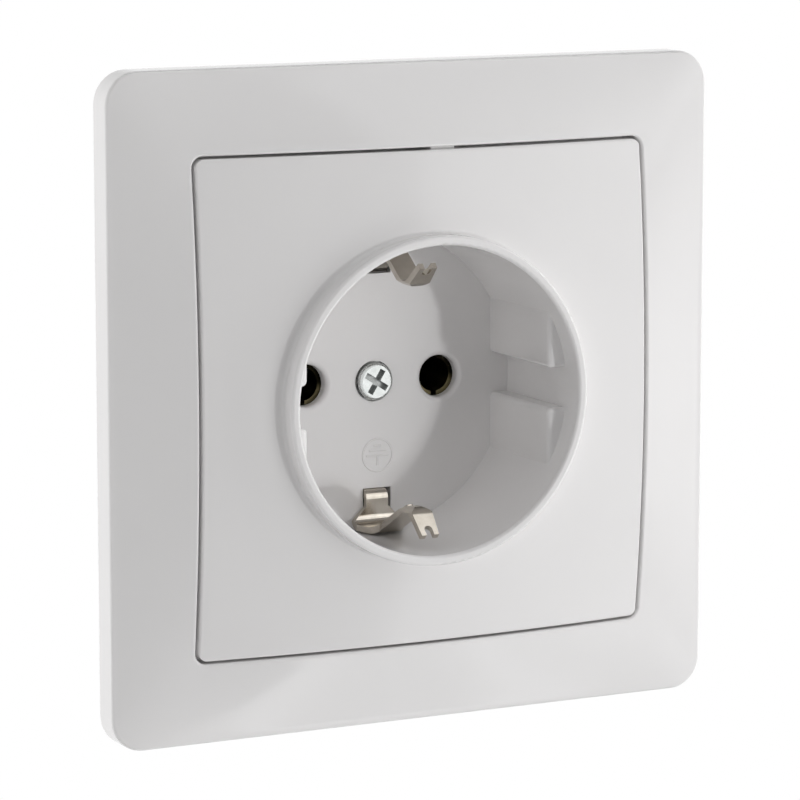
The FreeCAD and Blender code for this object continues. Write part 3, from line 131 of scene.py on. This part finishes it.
# Name, azimuth and elevation in degrees, distance, width and height in metres, radiance, and
# False where shiny faces don't show the lamp.
LAMPS = (
    ("key_lamp", 26.0, -6.0, 1.2, 0.05, 0.05, 220.43, False),
    ("near_softbox", 35.0, -5.0, 0.25, 0.1, 0.3, 0.42, False),
    ("tall_softbox", 38.0, -6.0, 0.9, 0.383, 1.5, 1.051),
    ("side_softbox", 80.0, 0.0, 0.9, 0.5, 1.5, 2.72, False),
    ("left_softbox", -50.0, 0.0, 0.9, 0.6, 1.2, 0.33),
    ("far_left_softbox", -88.0, 0.0, 0.9, 0.3, 1.2, 1.1, False),
    ("upper_softbox", 10.0, 58.0, 0.9, 0.8, 0.5, 0.938),
    ("lower_softbox", 10.0, -58.0, 0.9, 0.8, 0.5, 0.891),
    ("rear_left_softbox", -115.0, 0.0, 0.9, 0.6, 1.2, 2.626, False),
    ("rear_right_softbox", 150.0, 15.0, 0.9, 0.6, 1.2, 1.126, False),
)


class Nodes:
    """Node tree of one material or world, with short ways to add and link nodes."""

    def __init__(self, tree):
        self.tree = tree
        tree.nodes.clear()

    def add(self, kind, inputs=None, **settings):
        """New node; an input is linked if it is a socket, and set to its value if not."""
        node = self.tree.nodes.new(kind)
        for name, value in settings.items():
            setattr(node, name, value)
        for name, value in (inputs or {}).items():
            if isinstance(value, bpy.types.NodeSocket):
                self.tree.links.new(value, node.inputs[name])
            else:
                node.inputs[name].default_value = value
        return node

    def object_place(self):
        """Place on the part in the row frame, in metres."""
        return self.add("ShaderNodeTexCoord").outputs["Object"]

    def ranged(self, value, start, end, low=0.0, high=1.0):
        """Value from low to high as another one goes from start to end."""
        return self.add("ShaderNodeMapRange", {"Value": value, "From Min": start, "From Max": end,
                                               "To Min": low, "To Max": high}).outputs["Result"]

    def math(self, operation, first, second, **settings):
        """Result of a Math node."""
        return self.add("ShaderNodeMath", {0: first, 1: second}, operation=operation,
                        **settings).outputs["Value"]


def rgba(colour):
    return (*colour, 1.0)


def new_material(name):
    material = bpy.data.materials.new(name)
    material.use_nodes = True
    return material, Nodes(material.node_tree)


def noise(nodes, scale, detail, stretch=(1.0, 1.0, 1.0)):
    """Noise in the row frame, with its scale in features per metre."""
    moved = nodes.add("ShaderNodeMapping", {"Vector": nodes.object_place(), "Scale": stretch})
    return nodes.add("ShaderNodeTexNoise", {"Vector": moved.outputs["Vector"], "Scale": scale,
                                            "Detail": detail}).outputs["Fac"]


def tinted(nodes, value, dark, bright):
    """Colour from dark to bright as a noise goes through its range."""
    ramp = nodes.add("ShaderNodeValToRGB", {"Fac": value})
    for element, place, colour in zip(ramp.color_ramp.elements, NOISE_RANGE, (dark, bright)):
        element.position = place
        element.color = rgba(colour)
    return ramp.outputs["Color"]


def uneven(nodes, value, mean, shares):
    """Value round a mean one as a noise goes through its range."""
    return nodes.ranged(value, *NOISE_RANGE, mean * shares[0], mean * shares[1])


def bumped(nodes, height, distance):
    return nodes.add("ShaderNodeBump", {"Height": height, "Distance": distance,
                                        "Strength": 1.0}).outputs["Normal"]


def surface(nodes, inputs):
    """Make a principled shader the surface of the material."""
    shader = nodes.add("ShaderNodeBsdfPrincipled", inputs)
    nodes.add("ShaderNodeOutputMaterial", {"Surface": shader.outputs["BSDF"]})


def darkened(nodes, colour, amount, left):
    """Colour times a factor that goes from 1 to what is left as the amount goes from 0 to 1."""
    factor = nodes.ranged(amount, 0.0, 1.0, 1.0, left)
    return nodes.add("ShaderNodeVectorMath", {0: colour, "Scale": factor},
                     operation="SCALE").outputs["Vector"]


def painted_recess_shade(nodes, colour, radius, near, far, left):
    """Painted shade that darkens the colour from the near to the far depth, close round the
    part's axis.
    """
    axes = nodes.add("ShaderNodeSeparateXYZ", {"Vector": nodes.object_place()}).outputs
    flat = nodes.add("ShaderNodeCombineXYZ", {"X": axes["X"], "Z": axes["Z"]}).outputs["Vector"]
    reach = nodes.add("ShaderNodeVectorMath", {0: flat}, operation="LENGTH").outputs["Value"]
    inside = nodes.ranged(reach, radius, radius + RECESS_SHADE_EDGE, 1.0, 0.0)
    deep = nodes.ranged(axes["Y"], near, far)
    return darkened(nodes, colour, nodes.math("MULTIPLY", inside, deep), left)


def painted_place_shade(nodes, colour, ranges, left):
    """Painted shade that darkens the colour as every named coordinate goes from near to far."""
    axes = nodes.add("ShaderNodeSeparateXYZ", {"Vector": nodes.object_place()}).outputs
    amount = 1.0
    for axis, near, far in ranges:
        amount = nodes.math("MULTIPLY", nodes.ranged(axes[axis], near, far), amount)
    return darkened(nodes, colour, amount, left)


def moulded(name, dark, bright, roughness, grain, grain_scale):
    """Moulded plastic: faint clouding of the colour, uneven gloss and a fine grain.

    The roughness is the mean one, and the grain is given by its depth and its scale."""
    material, nodes = new_material(name)
    cloud = noise(nodes, *CLOUDING)
    gloss = noise(nodes, *PLASTIC_GLOSS)
    fine = noise(nodes, grain_scale, GRAIN_DETAIL)
    surface(nodes, {
        "Base Color": tinted(nodes, cloud, dark, bright),
        "Roughness": uneven(nodes, gloss, roughness, PLASTIC_ROUGHNESS),
        "IOR": PLASTIC_IOR,
        "Normal": bumped(nodes, fine, grain)})
    return material


def metal(name, dark, bright, roughness, stretch, marks_scale=900.0, recess=None, shade=None):
    """Plated or rolled metal: rolling marks along one way, with uneven tone and gloss.

    The roughness is the mean one. A recess or a shade names a place with painted shade."""
    material, nodes = new_material(name)
    tone = noise(nodes, *METAL_TONE)
    marks = noise(nodes, marks_scale, MARKS_DETAIL, stretch)
    colour = tinted(nodes, tone, dark, bright)
    if recess:
        colour = painted_recess_shade(nodes, colour, *recess)
    if shade:
        colour = painted_place_shade(nodes, colour, *shade)
    surface(nodes, {
        "Base Color": colour,
        "Metallic": 1.0,
        "Roughness": uneven(nodes, marks, roughness, METAL_ROUGHNESS),
        "Normal": bumped(nodes, marks, MARKS_DEPTH)})
    return material


def make_materials():
    """Material of each slot, under the slot's name."""
    made = {slot: moulded(slot, **look) for slot, look in MOULDINGS.items()}
    made.update({slot: metal(slot, **look) for slot, look in METALS.items()})
    return made


def dress_frame(materials):
    """Give every CAD node the material of its slot in the record."""
    for entry in frame["record"]["subparts"]:
        node = frame["nodes"][entry["node"]]
        node.data.materials.clear()
        node.data.materials.append(materials[entry["material_slot"]])


def add_mesh(name, build, material):
    """New piece from a bmesh that build fills; it rides on the part's one body."""
    mesh = bpy.data.meshes.new(name)
    shape = bmesh.new()
    build(shape)
    bmesh.ops.recalc_face_normals(shape, faces=shape.faces)
    shape.to_mesh(mesh)
    shape.free()
    mesh.materials.append(material)
    piece = bpy.data.objects.new(name, mesh)
    bpy.context.scene.collection.objects.link(piece)
    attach(piece, "root")


def relief(shape, line, closed=False):
    """Low bar with sloping sides on the floor of the well, along a line of (x, z) points."""
    count = len(line)
    sections = []
    for index, point in enumerate(line):
        before = line[index - 1] if index or closed else point
        after = line[(index + 1) % count] if index + 1 < count or closed else point
        along = Vector((after[0] - before[0], after[1] - before[1])).normalized()
        across = Vector((-along.y, along.x)) * RELIEF_WIDTH / 2
        sections.append([shape.verts.new((point[0] + across.x * share,
                                          WELL_FLOOR_Y - RELIEF_HEIGHT * rise,
                                          point[1] + across.y * share))
                         for share, rise in RELIEF_SECTION])
    pairs = list(zip(sections, sections[1:]))
    if closed:
        pairs.append((sections[-1], sections[0]))
    sides = len(RELIEF_SECTION)
    for first, second in pairs:
        for here in range(sides):
            there = (here + 1) % sides
            shape.faces.new((first[here], first[there], second[there], second[here]))
    if not closed:
        shape.faces.new(sections[0])
        shape.faces.new(reversed(sections[-1]))


def build_earth_sign(shape):
    """Earth sign in its ring: a stem under three bars, the longest at the stem."""
    x, z = SIGN_CENTRE
    angles = [math.tau * index / SIGN_RING_POINTS for index in range(SIGN_RING_POINTS)]
    ring = [(x + SIGN_RADIUS * math.cos(angle), z + SIGN_RADIUS * math.sin(angle))
            for angle in angles]
    relief(shape, ring, closed=True)
    for up, half in SIGN_BARS:
        relief(shape, [(x - half * MM, z + up * MM), (x + half * MM, z + up * MM)])
    relief(shape, [(x, z + up * MM) for up in SIGN_STEM])


def direction(azimuth, elevation):
    """Unit vector out of the wall, from degrees; a positive azimuth turns it to the right."""
    turn, rise = math.radians(azimuth), math.radians(elevation)
    level = math.cos(rise)
    return Vector((math.sin(turn) * level, -math.cos(turn) * level, math.sin(rise)))


def aimed(place):
    """Placement of a camera or lamp that looks from a place at the origin."""
    rotation = (-place).to_track_quat("-Z", "Y").to_matrix().to_4x4()
    return Matrix.Translation(place) @ rotation


def add_camera():
    data = bpy.data.cameras.new("camera")
    data.sensor_width = SENSOR_WIDTH
    data.lens = FOCAL_PIXELS / FRAME_PIXELS * SENSOR_WIDTH
    data.shift_x = -OFFSET_PIXELS[0] / FRAME_PIXELS
    data.shift_y = OFFSET_PIXELS[1] / FRAME_PIXELS
    camera = bpy.data.objects.new("camera", data)
    camera.matrix_world = aimed(direction(CAMERA_AZIMUTH, CAMERA_ELEVATION) * CAMERA_DISTANCE)
    bpy.context.scene.collection.objects.link(camera)
    bpy.context.scene.camera = camera


def add_lamp(name, azimuth, elevation, distance, width, height, radiance, mirrored=True):
    """Evenly glowing rectangle that faces the part; shiny faces may show it or not."""
    data = bpy.data.lights.new(name, "AREA")
    data.shape = "RECTANGLE"
    data.size, data.size_y = width, height
    data.energy = radiance * math.pi * width * height
    lamp = bpy.data.objects.new(name, data)
    lamp.matrix_world = aimed(direction(azimuth, elevation) * distance)
    lamp.visible_glossy = mirrored
    bpy.context.scene.collection.objects.link(lamp)


def seen_share(nodes):
    """1 for rays that show the background: straight, mirrored or through glass."""
    path = nodes.add("ShaderNodeLightPath").outputs
    straight_or_mirrored = nodes.math("ADD", path["Is Camera Ray"], path["Is Glossy Ray"])
    return nodes.math("ADD", straight_or_mirrored, path["Is Transmission Ray"], use_clamp=True)


def set_world():
    """Even light from all round, and plain white behind the part."""
    world = bpy.data.worlds.new("studio")
    world.use_nodes = True
    nodes = Nodes(world.node_tree)
    strength = nodes.ranged(seen_share(nodes), 0.0, 1.0, WORLD_LIGHT, 1.0)
    glow = nodes.add("ShaderNodeBackground", {"Color": rgba(WHITE), "Strength": strength})
    nodes.add("ShaderNodeOutputWorld", {"Surface": glow.outputs["Background"]})
    bpy.context.scene.world = world


def add_floor():
    """Pale floor far under the part, which shows as plain white."""
    mesh = bpy.data.meshes.new("floor")
    signs = ((-1, -1), (1, -1), (1, 1), (-1, 1))
    corners = [(STAGE_HALF * x, STAGE_HALF * y, STAGE_LEVEL) for x, y in signs]
    mesh.from_pydata(corners, [], [(0, 1, 2, 3)])
    material, nodes = new_material("floor")
    diffuse = nodes.add("ShaderNodeBsdfDiffuse", {"Color": rgba(STAGE_COLOUR)})
    glow = nodes.add("ShaderNodeEmission", {"Color": rgba(WHITE), "Strength": 1.0})
    mixed = nodes.add("ShaderNodeMixShader", {0: seen_share(nodes), 1: diffuse.outputs["BSDF"],
                                              2: glow.outputs["Emission"]})
    nodes.add("ShaderNodeOutputMaterial", {"Surface": mixed.outputs["Shader"]})
    mesh.materials.append(material)
    floor = bpy.data.objects.new("floor", mesh)
    bpy.context.scene.collection.objects.link(floor)


materials = make_materials()
dress_frame(materials)
add_mesh("earth_sign", build_earth_sign, materials["white_moulding"])
add_camera()
add_floor()
set_world()
for lamp in LAMPS:
    add_lamp(*lamp)
bpy.context.scene.view_settings.view_transform = "Standard"
